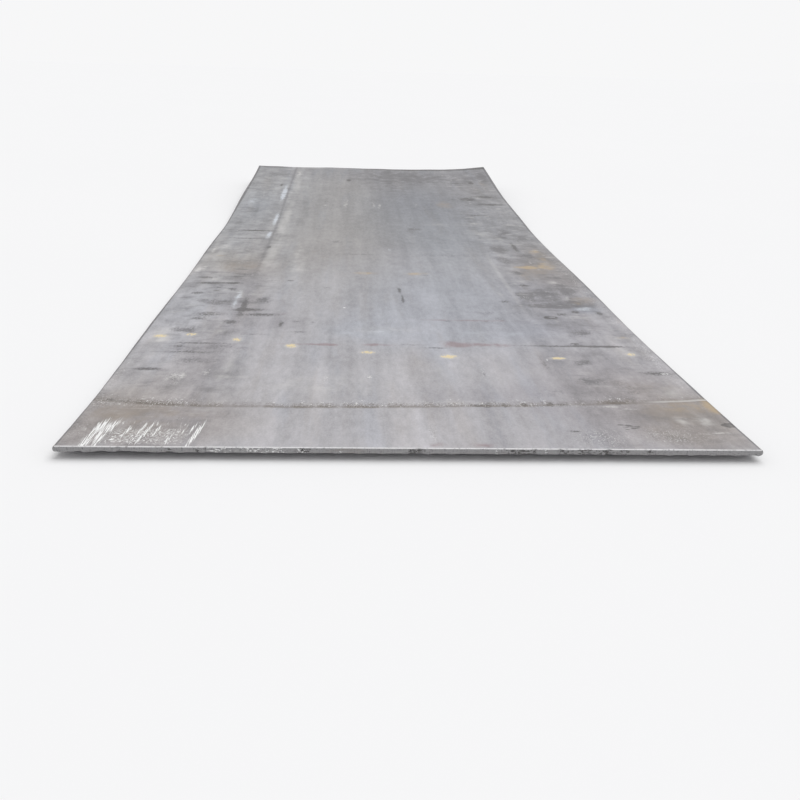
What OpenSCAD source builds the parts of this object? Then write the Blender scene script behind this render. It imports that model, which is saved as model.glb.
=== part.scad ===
// Hot-rolled wear plate: one piece of stock with mill edges and cut ends, lying on a floor.
// X runs across the plate, Y along it from the front end to the back end, and Z up.
// The origin is on the floor under the middle of the plate. Lengths are in millimetres.

/* [Plate] */
// Length between the two cut ends
plate_length = 6000; // [4000:50:12000]
// Width over the two mill edges
plate_width = 2000; // [1200:50:2500]
// Thickness
plate_thickness = 16; // [8:1:40]

/* [Mill edges] */
// How far the rolled side edges bulge out beyond the flat faces
mill_edge_bulge = 5; // [1:0.5:12]
// How far the side edges wander in from the full width
mill_edge_wander = 6; // [0:1:20]
// Length of one wander of a side edge
mill_edge_wave = 1700; // [800:50:3000]

/* [Front curl] */
// Height that the front end lifts off the floor
front_rise = 18; // [0:1:40]
// Length of the stretch that lifts at the front end
front_reach = 1750; // [600:25:2500]

/* [Back bend] */
// Height that the back end rises beyond the bend
back_rise = 120; // [0:1:200]
// Distance of the start of the bend from the back end
back_reach = 2600; // [1000:25:2900]
// Length of the bend along the plate
bend_length = 400; // [100:25:900]

/* [Corner lift] */
// Extra lift of the left back corner
left_corner_rise = 5; // [0:1:60]
// Extra lift of the right back corner
right_corner_rise = 40; // [0:1:60]
// Length of a lifted corner along the plate
corner_reach = 1300; // [300:25:2000]
// Width of a lifted corner across the plate
corner_span = 600; // [200:25:600]

/* [Crease] */
// Distance of the pressed crease from the front end
crease_distance = 375; // [150:25:600]
// Angle that the front end turns up at the crease, in degrees
crease_angle = 0.5; // [0:0.1:2]

/* [Cut ends] */
// Height and depth of the melted arris along the top of a cut end
cut_arris = 2; // [0.5:0.5:4]
// Radius of the torch nicks in the front cut
nick_radius = 8; // [6:0.5:15]
// Depth of the torch nicks in the front cut
nick_depth = 4; // [1:0.5:5]

/* [Hidden] */

// Places of the torch nicks, as shares of the half width from the middle
nick_shares = [-0.82, -0.58, 0.01, 0.34, 0.41, 0.49, 0.55];

// Steps of the loft: stations along the plate, columns across it, and points round a mill edge
station_count = 48;
column_count = 12;
nose_count = 6;

half_length = plate_length / 2;
flat_half_width = plate_width / 2 - mill_edge_bulge;

// Lift of the front end, which its coil set raises against its weight: the elastic line of the
// stretch beyond the lift-off line, from 0 there to the full rise at the end
function front_lift(from_front) =
    let (share = max(0, 1 - from_front / front_reach))
    front_rise * (4 * pow(share, 3) - pow(share, 4)) / 3;

// Lift of the back end beyond the bend: a parabola over the bend, then a straight rise
function back_lift(from_back) =
    let (
        past = max(0, back_reach - from_back),
        curved = min(past, bend_length)
    )
    back_rise * (curved * curved / bend_length / 2 + past - curved) / (back_reach - bend_length / 2);

// Extra lift of a back corner, growing with the square of the distance along and across
function corner_lift(x, from_back) =
    let (
        along_share = max(0, 1 - from_back / corner_reach),
        across_share = max(0, 1 - (plate_width / 2 - abs(x)) / corner_span),
        rise = x < 0 ? left_corner_rise : right_corner_rise
    )
    rise * pow(along_share, 2) * pow(across_share, 2);

// Lift of the front end beyond the crease
function crease_lift(from_front) = max(0, crease_distance - from_front) * tan(crease_angle);

// Height of the plate's underside above the floor at a point of its plan
function lift(x, y) =
    front_lift(half_length + y)
    + back_lift(half_length - y)
    + corner_lift(x, half_length - y)
    + crease_lift(half_length + y);

// Distance that a side edge lies inside the full width; the two sides wander out of step
function edge_inset(side, y) =
    mill_edge_wander * (1 + sin(360 * y / mill_edge_wave + 90 * side)) / 2;

// Section of the plate in X and Z: flat faces, and a mill edge that bulges as half an ellipse
function across(column) = (2 * column / column_count - 1) * flat_half_width;
function nose(side, step) =
    let (turn = 90 - 180 * step / nose_count)
    [
        side * (flat_half_width + mill_edge_bulge * cos(turn)),
        plate_thickness / 2 * (1 + side * sin(turn))
    ];
section = concat(
    [for (column = [0:column_count]) [across(column), plate_thickness]],
    [for (step = [1:nose_count - 1]) nose(1, step)],
    [for (column = [column_count:-1:0]) [across(column), 0]],
    [for (step = [1:nose_count - 1]) nose(-1, step)]
);
section_count = len(section);

// Stations along Y: the cut faces, the inner side of each arris, and even steps between
function station_y(station) =
    station == 0 ? -half_length
    : station == station_count ? half_length
    : -half_length + cut_arris
        + (plate_length - 2 * cut_arris) * (station - 1) / (station_count - 2);

// A section point placed at its station, where the melted arris lowers the top of a cut face
function placed(point, station) =
    let (
        y = station_y(station),
        at_cut_face = station == 0 || station == station_count,
        side = sign(point[0]),
        x = point[0] * (1 - edge_inset(side, y) / (plate_width / 2)),
        top = at_cut_face ? plate_thickness - cut_arris : plate_thickness
    )
    [x, y, min(point[1], top) + lift(x, y)];

// The plate as rolled and cut, lofted through its stations
module rolled_body() {
    points = [
        for (station = [0:station_count])
            for (point = section)
                placed(point, station)
    ];
    walls = [
        for (station = [0:station_count - 1])
            for (i = [0:section_count - 1])
                let (
                    j = (i + 1) % section_count,
                    near = station * section_count,
                    far = near + section_count
                )
                [near + i, far + i, far + j, near + j]
    ];
    // A cut face: a strip for each column, and the two mill edges
    bottom_left = 2 * column_count + nose_count;
    strips = [
        for (i = [0:column_count - 1])
            [i, i + 1, bottom_left - i - 1, bottom_left - i]
    ];
    right_nose = [for (i = [column_count:column_count + nose_count]) i];
    left_nose = [for (i = [bottom_left:section_count]) i % section_count];
    front_faces = concat(strips, [right_nose, left_nose]);
    last_station = station_count * section_count;
    back_faces = [
        for (face = front_faces)
            [for (i = [len(face) - 1:-1:0]) last_station + face[i]]
    ];
    polyhedron(points, concat(front_faces, back_faces, walls));
}

// Upright grooves that the torch left where it paused in the front cut
module torch_nicks() {
    deepest = front_rise + crease_lift(0) + 2 * plate_thickness;
    for (share = nick_shares)
        translate([
            share * plate_width / 2,
            nick_depth - nick_radius - half_length,
            -plate_thickness
        ])
            cylinder(r = nick_radius, h = deepest + plate_thickness, $fn = 32);
}

module wear_plate() {
    color("#a4a3a6")
        difference() {
            rolled_body();
            torch_nicks();
        }
}

wear_plate();
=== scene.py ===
"""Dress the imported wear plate: a rolled steel plate with mill scale, stains and torch-cut ends."""

import bpy
import numpy as np
from bpy.props import FloatProperty, FloatVectorProperty, IntProperty, PointerProperty
from mathutils import Matrix, Vector


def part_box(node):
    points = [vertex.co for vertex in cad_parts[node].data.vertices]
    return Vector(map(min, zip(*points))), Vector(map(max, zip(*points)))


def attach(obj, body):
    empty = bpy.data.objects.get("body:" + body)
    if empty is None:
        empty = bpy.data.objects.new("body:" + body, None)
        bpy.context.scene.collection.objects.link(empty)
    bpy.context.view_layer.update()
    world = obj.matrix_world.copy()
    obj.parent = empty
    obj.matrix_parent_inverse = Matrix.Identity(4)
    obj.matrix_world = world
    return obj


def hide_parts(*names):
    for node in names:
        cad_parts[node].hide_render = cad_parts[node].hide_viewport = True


bl_info = {
    "name": "Wear plate",
    "version": (1, 0, 0),
    "blender": (4, 5, 0),
    "location": "3D View > Sidebar > Wear plate",
    "description": "Builds a hot-rolled wear plate with mill scale, stains and torch-cut ends",
    "category": "Add Mesh",
}

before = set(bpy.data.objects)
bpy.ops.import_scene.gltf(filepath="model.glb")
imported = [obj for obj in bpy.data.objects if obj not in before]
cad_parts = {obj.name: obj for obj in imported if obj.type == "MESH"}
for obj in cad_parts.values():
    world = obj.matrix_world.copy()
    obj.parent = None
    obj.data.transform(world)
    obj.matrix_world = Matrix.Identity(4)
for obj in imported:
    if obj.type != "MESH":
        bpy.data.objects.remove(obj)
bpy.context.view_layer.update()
NODE = "wear_plate"
LOW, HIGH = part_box(NODE)
MM = 0.001
SEED = 11

# Marks on the top face, each as x from the left edge, y from the front end, half width and half
# length in millimetres, then strength. Left is the left-hand side seen from the front end.
WARM_ZONES = (
    (200, 270, 240, 170, 1.0),
    (300, 780, 100, 300, 0.5),
    (1060, 850, 60, 260, 0.6),
    (1780, 250, 190, 230, 0.9),
    (1760, 620, 260, 260, 0.6),
    (260, 2430, 130, 260, 1.0),
    (520, 2750, 250, 500, 0.5),
    (1790, 2430, 190, 240, 0.9),
    (800, 3400, 330, 1000, 0.9),
    (780, 5100, 400, 1000, 0.6),
    (1830, 5050, 170, 420, 0.6),
    (1900, 280, 110, 200, 1.0),
    (100, 450, 110, 330, 0.4),
    (180, 180, 230, 160, 1.3),
    (1900, 2600, 90, 500, 1.4),
)
COOL_ZONES = (
    (1150, 800, 40, 330, 0.6),
    (680, 900, 40, 220, 0.5),
    (950, 1280, 170, 230, 0.9),
    (980, 1262, 130, 60, 1.0),
    (1400, 1250, 280, 200, 0.7),
    (130, 1600, 130, 450, 0.7),
    (1250, 1750, 300, 400, 1.0),
    (1870, 1650, 60, 60, 1.3),
    (1500, 1300, 80, 60, 0.8),
    (1350, 3200, 400, 1200, 0.9),
    (150, 4300, 160, 550, 0.8),
    (1250, 4450, 300, 650, 0.8),
)
OLIVE_ZONES = (
    (1890, 300, 110, 160, 1.0),
    (90, 310, 90, 140, 0.7),
    (210, 110, 200, 90, 0.6),
    (1790, 80, 150, 80, 0.6),
    (1890, 2800, 90, 350, 0.5),
    (90, 2700, 110, 300, 0.5),
    (230, 2450, 120, 220, 0.5),
    (160, 620, 130, 150, 0.4),
)
# Darker zones: some are the scale's own darker patches; the broad ones at the back end and along the right
# side are painted shade.
SHADE_ZONES = (
    (1700, 200, 260, 300, 0.4),
    (1600, 850, 230, 600, 0.6),
    (250, 1450, 160, 1000, 0.2),
    (1800, 2450, 200, 450, 0.5),
    (1500, 5000, 480, 1300, 0.7),
    (200, 300, 210, 110, 0.9),
    (1740, 250, 130, 230, 0.7),
    (1540, 500, 110, 130, 0.8),
    (500, 1320, 80, 70, 0.5),
    (600, 1280, 50, 200, 0.45),
    (1800, 620, 230, 230, 0.4),
    (270, 800, 110, 300, 0.55),
    (335, 1850, 45, 480, 0.6),
    (1780, 1880, 220, 450, 0.5),
    (290, 2220, 90, 160, 0.9),
    (1250, 4400, 280, 550, 0.5),
    (1100, 5300, 90, 800, 0.4),
    (1500, 5750, 600, 400, 1.0),
    (600, 5850, 600, 350, 0.6),
    (350, 1450, 120, 300, 0.6),
    (1740, 1860, 110, 210, 0.9),
    (1780, 80, 130, 60, 0.9),
    (150, 80, 150, 70, 1.2),
    (1580, 520, 160, 70, 0.5),
    (1760, 1310, 180, 110, 0.7),
    (1100, 1500, 80, 1900, 0.35),
    (335, 5600, 50, 320, 0.7),
    (1750, 500, 60, 90, 0.6),
    (1150, 5650, 180, 300, 1.3),
    (1100, 2800, 130, 450, 0.5),
    (1850, 2900, 160, 260, 0.5),
    (1900, 2100, 60, 150, 0.5),
    (480, 1500, 70, 300, 0.6),
    (1250, 450, 260, 90, 0.6),
    (1755, 600, 60, 150, 0.9),
    (150, 200, 150, 110, 1.1),
    (290, 80, 120, 90, 0.6),
    (305, 830, 50, 100, 0.5),
    (310, 650, 50, 120, 0.4),
    (170, 600, 60, 90, 0.5),
    (300, 985, 150, 40, 0.5),
)
# Dark smudges; the broad faint ones near the back end and along the right side are painted shade that
# deepens the darkening there.
SMUDGES_AND_SHADE = (
    (1420, 1440, 80, 60, 0.40),
    (30, 1280, 30, 50, 0.28),
    (245, 830, 95, 100, 0.45),
    (162, 1228, 38, 38, 1.2),
    (1650, 630, 32, 32, 0.78),
    (1670, 845, 26, 26, 1.04),
    (1780, 1260, 90, 40, 0.65),
    (230, 1690, 90, 38, 0.7),
    (425, 1740, 30, 55, 0.91),
    (700, 1970, 25, 30, 0.39),
    (285, 2200, 60, 75, 0.78),
    (1690, 1490, 24, 32, 0.7),
    (1790, 1685, 60, 22, 1.1),
    (1690, 1690, 70, 24, 1.2),
    (1770, 1830, 90, 120, 0.62),
    (1640, 1900, 24, 50, 0.91),
    (1860, 2030, 50, 80, 1.2),
    (1690, 2370, 24, 45, 0.91),
    (1870, 2280, 40, 30, 0.78),
    (1460, 1560, 190, 30, 0.32),
    (200, 3480, 112, 86, 0.4),
    (725, 3170, 31, 48, 0.64),
    (1360, 2800, 238, 40, 0.36),
    (1680, 2700, 31, 55, 1.28),
    (1695, 3000, 42, 78, 1.4),
    (1830, 2830, 35, 62, 0.96),
    (1880, 3400, 50, 188, 0.64),
    (1680, 3440, 35, 48, 0.48),
    (1770, 3420, 35, 62, 0.48),
    (1800, 3570, 30, 94, 0.64),
    (1220, 3600, 38, 78, 0.8),
    (1510, 3580, 50, 62, 0.32),
    (1850, 4500, 119, 56, 0.4),
    (1925, 5560, 22, 94, 1.12),
    (1135, 5700, 30, 469, 0.64),
    (1450, 5500, 238, 118, 0.48),
    (1640, 1880, 22, 60, 1.0),
    (1870, 1750, 30, 45, 0.91),
    (300, 985, 150, 36, 0.39),
    (1160, 5620, 230, 325, 0.5),
    (1700, 1920, 50, 90, 0.6),
    (150, 140, 170, 110, 0.33),
    (1755, 560, 60, 170, 0.4),
    (1490, 500, 60, 110, 0.32),
    (1200, 4850, 200, 300, 0.22),
    (1800, 90, 110, 60, 0.2),
    (1895, 4150, 60, 200, 0.22),
    (1895, 4850, 60, 300, 0.24),
    (1900, 5550, 60, 250, 0.26),
    (1250, 5600, 500, 300, 0.27),
)
STREAKS = (
    (60, 400, 9, 7, 1.7),
    (92, 391, 26, 3, 0.9),
    (1640, 205, 9, 4, 1.3),
    (1662, 199, 7, 5, 1.4),
    (1684, 189, 9, 4, 1.3),
    (1654, 186, 12, 3, 1.1),
    (1673, 175, 10, 4, 1.2),
    (1650, 166, 8, 3, 0.9),
    (1485, 148, 18, 8, 0.8),
    (1980, 208, 16, 10, 3.0),
    (1222, 373, 13, 9, 1.9),
    (1254, 368, 8, 10, 1.8),
    (1312, 378, 6, 11, 2.0),
    (1376, 385, 6, 11, 2.0),
    (1460, 390, 6, 13, 2.1),
    (1500, 390, 25, 20, 0.57),
    (1680, 408, 24, 14, 0.92),
    (112, 722, 38, 12, 1.1),
    (240, 1043, 136, 15, 0.58),
    (170, 1000, 32, 14, 0.57),
    (230, 927, 128, 14, 0.58),
    (320, 1190, 8, 36, 0.30),
    (430, 1175, 72, 16, 0.4),
    (610, 1215, 36, 12, 0.57),
    (1150, 1015, 44, 9, 0.69),
    (1060, 1055, 70, 8, 0.46),
    (1920, 728, 52, 20, 0.8),
    (1530, 820, 12, 90, 0.46),
    (1290, 700, 5, 16, 0.55),
    (1620, 1060, 130, 10, 0.75),
    (1745, 1065, 60, 9, 0.8),
    (1840, 1060, 50, 10, 1.0),
    (1705, 1092, 18, 11, 0.92),
    (320, 1350, 24, 25, 1.03),
    (180, 1400, 28, 18, 0.8),
    (216, 1475, 52, 32, 0.80),
    (440, 1472, 68, 22, 0.92),
    (370, 1550, 60, 20, 1.03),
    (347, 1625, 12, 100, 1.1),
    (530, 1330, 9, 35, 0.92),
    (590, 1370, 16, 15, 0.57),
    (660, 1360, 11, 20, 0.46),
    (110, 1840, 28, 24, 0.8),
    (190, 1890, 19, 15, 0.69),
    (260, 1920, 20, 24, 0.8),
    (190, 1950, 32, 15, 0.57),
    (140, 2042, 56, 18, 1.0),
    (250, 2047, 34, 19, 0.92),
    (100, 2160, 48, 27, 0.69),
    (520, 2120, 16, 15, 0.57),
    (430, 2110, 72, 12, 0.34),
    (1750, 1545, 24, 22, 0.8),
    (1668, 1490, 9, 15, 1.0),
    (1712, 1490, 9, 13, 0.8),
    (1690, 1512, 16, 7, 0.7),
    (1690, 1472, 16, 9, 0.9),
    (1820, 1590, 14, 18, 1.15),
    (1925, 1570, 14, 28, 0.92),
    (1680, 2090, 25, 22, 0.8),
    (1530, 1760, 20, 20, 0.69),
    (1230, 1410, 28, 12, 0.46),
    (1200, 2285, 40, 12, 0.46),
    (1050, 1950, 8, 40, 1.03),
    (1057, 1780, 6, 60, 1.03),
    (345, 2950, 7, 26, 1.7),
    (180, 3220, 95, 14, 0.9),
    (210, 3480, 95, 24, 1.0),
    (240, 3400, 50, 14, 0.7),
    (1795, 3080, 12, 120, 1.05),
    (1690, 3600, 48, 32, 0.45),
    (1690, 4100, 48, 32, 0.6),
    (265, 5110, 10, 50, 1.05),
    (795, 5385, 14, 36, 1.3),
    (870, 5450, 70, 20, 0.4),
    (1700, 4670, 40, 40, 1.8),
    (1830, 4780, 80, 36, 1.0),
    (1805, 5360, 12, 36, 1.7),
    (1700, 5330, 90, 24, 0.6),
    (1850, 4490, 100, 30, 0.9),
    # The last three rows are painted shade: a dark rim along the back end's edge.
    (130, 5978, 80, 36, 1.4),
    (1450, 5978, 480, 36, 1.2),
    (1915, 5970, 75, 42, 1.4),
    (870, 2790, 152, 30, 0.38),
)
RUST_STAINS = (
    (155, 300, 60, 70, 1.1),
    (300, 300, 110, 70, 0.6),
    (50, 310, 25, 60, 0.5),
    (1775, 260, 60, 150, 0.6),
    (1910, 350, 90, 80, 0.7),
    (1820, 590, 180, 100, 0.4),
    (440, 1045, 40, 25, 0.5),
    (250, 2430, 90, 140, 0.8),
    (230, 3250, 30, 40, 0.4),
    (610, 2830, 25, 60, 0.3),
    (1880, 1790, 34, 60, 1.0),
    (1930, 1810, 30, 50, 1.1),
    (1800, 2440, 80, 110, 1.1),
    (1720, 2250, 30, 60, 0.7),
    (1500, 4450, 45, 90, 1.0),
    (1890, 5300, 50, 120, 0.6),
)
RED_LINES = (
    (1210, 1065, 40, 34, 0.9),
    (1330, 1063, 95, 22, 1.0),
    (730, 1045, 38, 14, 0.9),
    (915, 1050, 55, 15, 0.9),
    (640, 1045, 110, 11, 0.5),
    (1330, 1425, 150, 12, 0.9),
    (520, 1480, 30, 35, 0.4),
    (665, 1650, 22, 20, 0.4),
    (1060, 30, 25, 20, 0.6),
    (1195, 28, 35, 22, 0.6),
)
OCHRE_STAINS = (
    (1985, 390, 12, 55, 1.0),
    (1900, 375, 85, 45, 0.56),
    (180, 210, 170, 120, 0.28),
    (1905, 2720, 50, 200, 0.32),
    (1870, 1740, 32, 36, 0.4),
    (1930, 1190, 35, 18, 0.5),
    (115, 2690, 45, 12, 0.5),
    (660, 2690, 60, 10, 0.4),
    (1780, 2510, 70, 32, 1.0),
    (1850, 2560, 40, 60, 0.7),
    (1150, 2315, 55, 34, 0.75),
    (890, 2305, 52, 32, 0.75),
    (1900, 2950, 30, 60, 0.5),
)
PALE_PATCHES = (
    (295, 1215, 40, 44, 0.55),
    (70, 1170, 45, 75, 0.8),
    (95, 1075, 35, 30, 0.7),
    (530, 150, 28, 60, 0.4),
    (385, 750, 30, 250, 0.4),
    (440, 640, 60, 9, 0.4),
    (720, 560, 260, 140, 0.5),
    (120, 1600, 50, 130, 0.5),
    (90, 900, 40, 110, 0.4),
    (240, 1850, 60, 60, 0.4),
    (1165, 397, 30, 14, 0.7),
    (1140, 700, 30, 200, 0.35),
    (155, 2130, 30, 38, 0.9),
    (305, 1800, 18, 160, 0.5),
    (70, 2400, 10, 80, 0.7),
    (540, 2350, 55, 260, 0.45),
    (520, 2850, 40, 350, 0.45),
    (90, 2900, 40, 300, 0.5),
    (1838, 2168, 26, 17, 0.8),
    (1840, 1860, 14, 38, 0.9),
    (1690, 1900, 14, 60, 0.6),
    (1690, 2190, 40, 50, 0.5),
    (1530, 1900, 9, 65, 0.6),
    (1890, 1180, 90, 60, 0.4),
    (1750, 3300, 20, 90, 0.7),
    (1900, 3800, 60, 24, 0.7),
    (1650, 3850, 60, 70, 0.5),
    (1400, 3780, 150, 60, 0.4),
    (375, 5650, 16, 160, 0.8),
    (600, 5955, 260, 30, 0.6),
    (1720, 5500, 30, 90, 0.5),
    (1860, 4900, 30, 80, 0.5),
    (780, 4400, 8, 130, 0.85),
    (635, 4340, 18, 60, 0.8),
    (980, 4400, 8, 110, 0.75),
    (1020, 4350, 8, 95, 0.7),
    (1285, 4430, 8, 80, 0.8),
    (470, 4900, 60, 250, 0.3),
    (1840, 250, 19, 29, 1.2),
    (1915, 250, 20, 38, 1.2),
    (1640, 3500, 80, 160, 0.6),
    (1895, 520, 60, 60, 0.6),
    (1000, 1262, 130, 55, 0.40),
    (860, 1255, 50, 50, 0.35),
    (1895, 1000, 60, 60, 0.6),
)
BLUE_WASHES = (
    (800, 1195, 110, 55, 0.36),
    (945, 1225, 64, 50, 0.42),
    (1320, 1222, 70, 80, 0.42),
    (1480, 1225, 40, 44, 0.36),
)
FROST_BARS = (
    (312, 3330, 12, 80, 1.1),
    (315, 3860, 12, 120, 1.2),
    (308, 4780, 14, 200, 1.2),
    (1040, 2930, 8, 50, 0.42),
    (303, 1710, 13, 170, 0.65),
    (1865, 1648, 36, 32, 0.5),
    (1897, 1672, 24, 14, 0.5),
    (95, 4450, 40, 160, 0.4),
)
PALE_LINES = (
    (215, 652, 14, 26, 0.42),
    (246, 664, 10, 30, 0.40),
    (238, 622, 12, 22, 0.36),
    (198, 606, 10, 18, 0.32),
    (320, 690, 9, 20, 0.36),
    (735, 630, 7, 26, 0.5),
    (885, 660, 5, 14, 0.6),
    (120, 345, 40, 3, 0.45),
    (175, 322, 60, 3, 0.65),
    (270, 300, 55, 3, 0.55),
    (330, 282, 60, 3, 0.5),
    (1648, 372, 30, 6, 0.75),
    (1702, 352, 34, 5, 0.7),
    (1676, 338, 22, 4, 0.55),
    (1935, 140, 35, 5, 0.6),
    (45, 2850, 12, 60, 0.8),
    (38, 2330, 12, 60, 0.8),
    (90, 2560, 10, 50, 0.5),
    (1812, 2650, 12, 55, 0.45),
)
SPECKLED = (
    (215, 375, 150, 34, 1.0),
    (650, 365, 120, 20, 0.6),
    (870, 368, 150, 22, 0.7),
    (1320, 385, 280, 26, 0.9),
    (1530, 80, 60, 70, 0.75),
    (1770, 110, 140, 100, 0.6),
    (1640, 1850, 28, 70, 0.8),
    (1760, 1800, 30, 60, 0.5),
    (1060, 120, 12, 60, 0.9),
    (220, 100, 170, 100, 0.6),
    (225, 640, 32, 70, 0.9),
    (320, 690, 18, 36, 0.8),
    (735, 630, 14, 45, 0.8),
    (885, 660, 9, 34, 0.9),
    (1290, 720, 14, 85, 0.7),
    (1960, 900, 30, 500, 0.6),
    (1960, 2300, 30, 700, 0.6),
    (30, 700, 25, 500, 0.5),
    (790, 1610, 14, 18, 0.9),
    (310, 235, 7, 9, 1.4),
)
PAINT_DABS = (
    (77, 1135, 27, 22, 1.0),
    (193, 1160, 23, 18, 0.9),
    (375, 1100, 22, 30, 0.8),
    (592, 1022, 22, 25, 1.0),
    (883, 950, 32, 22, 0.8),
    (1185, 905, 30, 25, 1.0),
    (1595, 900, 27, 17, 1.0),
    (1890, 960, 22, 22, 0.8),
)
CHALK_STROKES = (
    (90, 105, 13, 95, 1.0),
    (122, 100, 8, 95, 1.0),
    (175, 130, 4, 55, 0.8),
    (212, 95, 5, 85, 0.7),
    (230, 105, 5, 85, 0.8),
    (258, 125, 4, 40, 0.8),
    (310, 55, 4, 50, 0.8),
    (335, 115, 3, 40, 0.6),
    (356, 145, 4, 48, 0.7),
    (376, 95, 6, 90, 1.0),
    (1472, 880, 5, 18, 0.4),
    (1883, 725, 12, 10, 0.7),
    (639, 1610, 9, 8, 0.5),
)
CREASE_PARTS = (
    (210, 350, 170, 150, 1.0),
    (650, 350, 110, 150, 0.65),
    (880, 360, 140, 150, 0.5),
    (1330, 375, 280, 150, 0.5),
    (1690, 400, 55, 150, 0.7),
)
# Marks on the front cut face, each as x from the left edge and half width in millimetres, then
# strength. Each crosses the whole face, being this long to either side of the front end.
CUT_MARK_REACH = 3000
GOUGES = (
    (320, 14, 0.8),
    (396, 14, 0.7),
    (690, 22, 0.9),
    (1000, 26, 1.0),
    (1300, 55, 0.9),
    (1425, 18, 0.8),
    (1475, 18, 0.8),
    (1540, 30, 0.9),
    (1600, 14, 0.7),
    (1670, 20, 0.7),
)
FLECKS = (
    (450, 40, 0.9),
    (545, 30, 1.0),
    (617, 26, 1.0),
    (683, 16, 1.0),
    (788, 10, 0.9),
    (1231, 8, 0.8),
    (1372, 10, 0.8),
    (1500, 60, 0.4),
)
# A mark fades out at this many of its half sizes.
MARK_RIM = 2.8
# The pressed crease's distance from the front end at mid width, its lean and its bow, and the hook
# at its left end with the distance from the middle at which the hook starts.
CREASE_MIDDLE, CREASE_LEAN, CREASE_BOW = 0.360, 0.042, 0.044
CREASE_HOOK, HOOK_START = 0.29, 0.60
# Places of the torch nicks in the front cut, as shares of the half width from the middle.
NICK_SHARES = (-0.82, -0.58, 0.01, 0.34, 0.41, 0.49, 0.55)
# Steps of the mesh along the plate, and the distances from the front end at which they grow.
END_GAP, NEAR_STEP, MIDDLE_STEP, FAR_STEP = 6 * MM, 9 * MM, 36 * MM, 84 * MM
NEAR_END, MIDDLE_END = 0.5, 1.6
# Fine relief that the solid leaves out: heights or depths, wave lengths and places, in metres.
EDGE_RIPPLE, LEFT_RIPPLE_WAVE, RIGHT_RIPPLE_WAVE = 0.5 * MM, 0.31, 0.27
FRONT_CUT_SWAY, FRONT_CUT_WAVE = 0.5 * MM, 0.43
BACK_CUT_SWAY, BACK_CUT_WAVE = 0.8 * MM, 0.37
CUT_FADE = 0.04
BUCKLE_HEIGHT, BUCKLE_WAVE, BUCKLE_REACH = 2.5 * MM, 0.9, 0.5
FACE_WAVE_HEIGHT, ACROSS_WAVE, ALONG_WAVE = 0.5 * MM, 0.83, 1.31
ACROSS_SLANT, ALONG_SLANT = 0.21, 0.4
CREASE_WIDTH, CREASE_WAVE = 11 * MM, 0.21
RIDGE_HEIGHT, RIDGE_X, RIDGE_WIDTH = 1.6 * MM, -0.655, 0.022
RIDGE_START, RIDGE_RUN_IN = 1.35, 0.8
DROSS_HEIGHT, DROSS_WAVE, DROSS_REACH = 2.4 * MM, 0.061, 12 * MM
SCALLOP_HEIGHT, SCALLOP_PITCH = 4 * MM, 0.052
SCALLOP_SWAY, SCALLOP_WAVE = 0.03, 0.2
SCALLOPS_LEFT, SCALLOPS_RIGHT = -0.95, -0.72
LEFT_RUN_OUT, RIGHT_RUN_OUT = 0.03, 0.06
DRAG_DEPTH, DRAG_WAVE, DRAG_LEAN = 0.35 * MM, 0.047, 1.4
SHARP_ANGLE = np.radians(40)
# Lines along the top face: x of the ridge's dark side (painted shade), the pale band beside it (painted
# highlight) and the scored line.
RIDGE_DARK_X, RIDGE_PALE_X, SCORE_X = -0.664, -0.620, 0.592
# Distances from the front end between which painted shade darkens the scale to the back, against the sheen
# that lightens the near end.
DIM_START, DIM_END = 0.7, 3.9
# Lean of the chalk strokes, and where they stand at their own x.
CHALK_LEAN, CHALK_PIVOT = 0.10, 0.10
# Where the chalk scribble and the ticks above it are: the middle, half size and soft rim, as x and
# distance from the front end.
SCRIBBLE_AREA = ((-0.765, 0.080), (0.085, 0.04), (0.05, 0.035))
TICK_AREA = ((-0.78, 0.165), (0.14, 0.02), (0.05, 0.03))
CAMERA_CLIP = 200.0


def length(label, words, metres):
    """A length property in metres."""
    return FloatProperty(name=label, description=words, default=metres, unit="LENGTH", precision=4)


def number(label, words, value):
    """A plain number property."""
    return FloatProperty(name=label, description=words, default=value)


def angle(label, words, degrees):
    """An angle property, given in degrees."""
    return FloatProperty(name=label, description=words, default=np.radians(degrees), subtype="ANGLE")


def count(label, words, value, least):
    """A whole number property."""
    return IntProperty(name=label, description=words, default=value, min=least)


def colour(label, words, rgb):
    """A linear colour property."""
    return FloatVectorProperty(
        name=label, description=words, default=rgb, size=3, min=0.0, max=1.0, subtype="COLOR"
    )


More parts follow.
